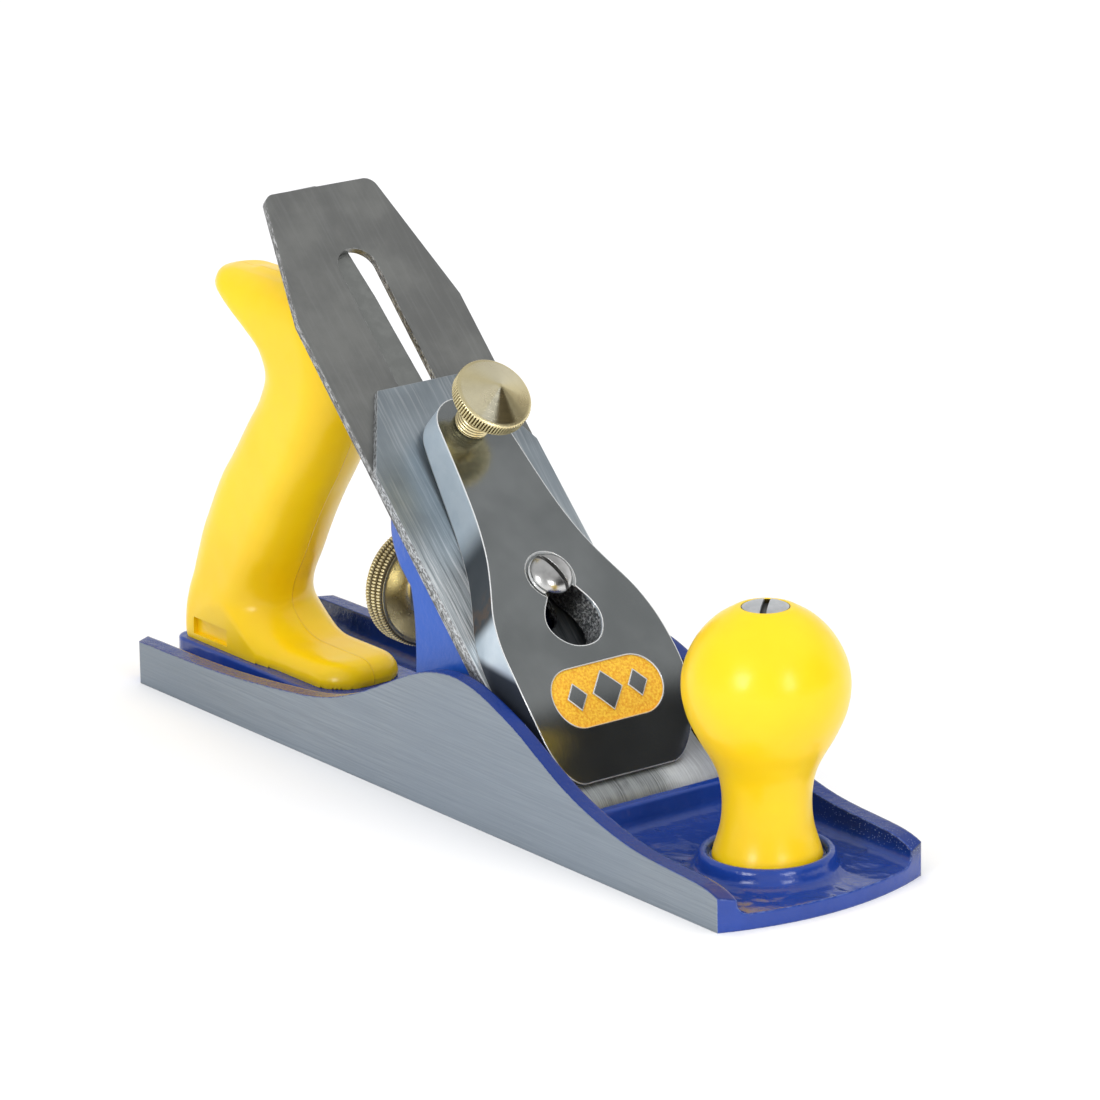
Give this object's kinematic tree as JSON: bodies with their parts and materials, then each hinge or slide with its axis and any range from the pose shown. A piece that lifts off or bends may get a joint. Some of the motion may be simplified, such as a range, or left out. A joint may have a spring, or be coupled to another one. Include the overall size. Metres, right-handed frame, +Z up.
{
  "type": "bench plane",
  "caption": "Metal bench smoothing plane with ground cheeks, blue enamelled casting, adjustable frog, iron and cap iron, lever cap with thumbscrew, and yellow plastic handle and knob.",
  "frame": {"origin": "centre of the sole's outline, on the sole plane", "axes": "+X towards the toe, +Y across the plane to the right when pushing it, +Z up"},
  "size_m": [0.259, 0.0624, 0.1369],
  "materials": {
    "blue_enamel": "glossy blue enamel over cast iron, with ground bare cheeks and sole",
    "zinc_steel": "zinc plated",
    "turned_brass": "turned, knurled rim",
    "cast_yoke": "as cast",
    "iron_steel": "dark satin ground steel",
    "cap_steel": "blue-grey ground steel",
    "nickel_plate": "satin nickel plate",
    "bright_nickel": "bright nickel plate",
    "yellow_plastic": "glossy moulded yellow"
  },
  "bodies": {
    "plane": {"plane_body": "blue_enamel", "frog_screws": "zinc_steel", "frog_screw_washers": "zinc_steel", "front_knob": "yellow_plastic", "knob_stud": "zinc_steel", "knob_nut": "bright_nickel", "rear_handle": "yellow_plastic", "handle_rod": "zinc_steel", "handle_nut": "bright_nickel"},
    "frog": {"frog": "blue_enamel", "frog_adjust_plate": "zinc_steel", "frog_plate_screw": "zinc_steel", "yoke_pin": "zinc_steel", "lateral_pivot": "zinc_steel", "lever_cap_screw": "bright_nickel"},
    "frog_adjuster": {"frog_adjust_screw": "zinc_steel"},
    "depth_stud": {"depth_stud": "zinc_steel"},
    "depth_wheel": {"depth_wheel": "turned_brass"},
    "yoke": {"yoke_lever": "cast_yoke"},
    "lateral_lever": {"lateral_lever": "zinc_steel", "lateral_roller_rivet": "zinc_steel"},
    "lateral_roller": {"lateral_roller": "zinc_steel"},
    "cap_screw": {"cap_iron_screw": "zinc_steel"},
    "irons": {"cutting_iron": "iron_steel", "cap_iron": "cap_steel"},
    "lever_cap": {"lever_cap": "nickel_plate"},
    "thumbscrew": {"lever_cap_thumbscrew": "turned_brass"}
  },
  "joints": [
    {"name": "frog_shift", "type": "slide", "parent": "plane", "child": "frog", "axis": [1, 0, 0], "range_m": [-0.0004, 0.001]},
    {"name": "frog_adjust_screw_spin", "type": "hinge", "parent": "frog", "child": "frog_adjuster", "pos_m": [-0.009, 0, 0.0089], "axis": [1, 0, 0], "range_deg": [-200, 470]},
    {"name": "iron_depth", "type": "slide", "parent": "frog", "child": "cap_screw", "axis": [0.7071, 0, -0.7071], "range_m": [-0.0006, 0.0007]},
    {"name": "iron_lateral", "type": "hinge", "parent": "cap_screw", "child": "irons", "pos_m": [-0.00072, 0, 0.05692], "axis": [0.7071, 0, 0.7071], "range_deg": [-0.6, 0.6]},
    {"name": "lateral_lever_swing", "type": "hinge", "parent": "frog", "child": "lateral_lever", "pos_m": [-0.02547, 0, 0.07743], "axis": [0.7071, 0, 0.7071], "range_deg": [-1.4, 1.4]},
    {"name": "lateral_roller_spin", "type": "hinge", "parent": "lateral_lever", "child": "lateral_roller", "pos_m": [-0.01734, 0.00014, 0.07142], "axis": [0.7071, 0, 0.7071], "continuous": true},
    {"name": "yoke_swing", "type": "hinge", "parent": "frog", "child": "yoke", "pos_m": [-0.01875, 0, 0.05374], "axis": [0, 1, 0], "range_deg": [-2.6, 2.6]},
    {"name": "depth_wheel_spin", "type": "hinge", "parent": "frog", "child": "depth_stud", "pos_m": [-0.029, 0, 0.041], "axis": [1, 0, 0], "range_deg": [-220, 220]},
    {"name": "depth_wheel_travel", "type": "slide", "parent": "depth_stud", "child": "depth_wheel", "axis": [1, 0, 0], "range_m": [-0.0007, 0.0007]},
    {"name": "lever_cap_slide", "type": "slide", "parent": "frog", "child": "lever_cap", "axis": [-0.7071, 0, 0.7071], "range_m": [0, 0.012]},
    {"name": "thumbscrew_spin", "type": "hinge", "parent": "lever_cap", "child": "thumbscrew", "pos_m": [-0.0138, 0, 0.08839], "axis": [0.7071, 0, 0.7071], "continuous": true}
  ],
  "couplings": [
    {"joint": "frog_adjust_screw_spin", "follows": "frog_shift", "rad_per_m": 7854},
    {"joint": "lateral_lever_swing", "follows": "iron_lateral", "ratio": -2.2},
    {"joint": "yoke_swing", "follows": "iron_depth", "rad_per_m": 62.5},
    {"joint": "depth_wheel_travel", "follows": "iron_depth", "ratio": -0.79626},
    {"joint": "depth_wheel_spin", "follows": "iron_depth", "rad_per_m": 5003}
  ]
}
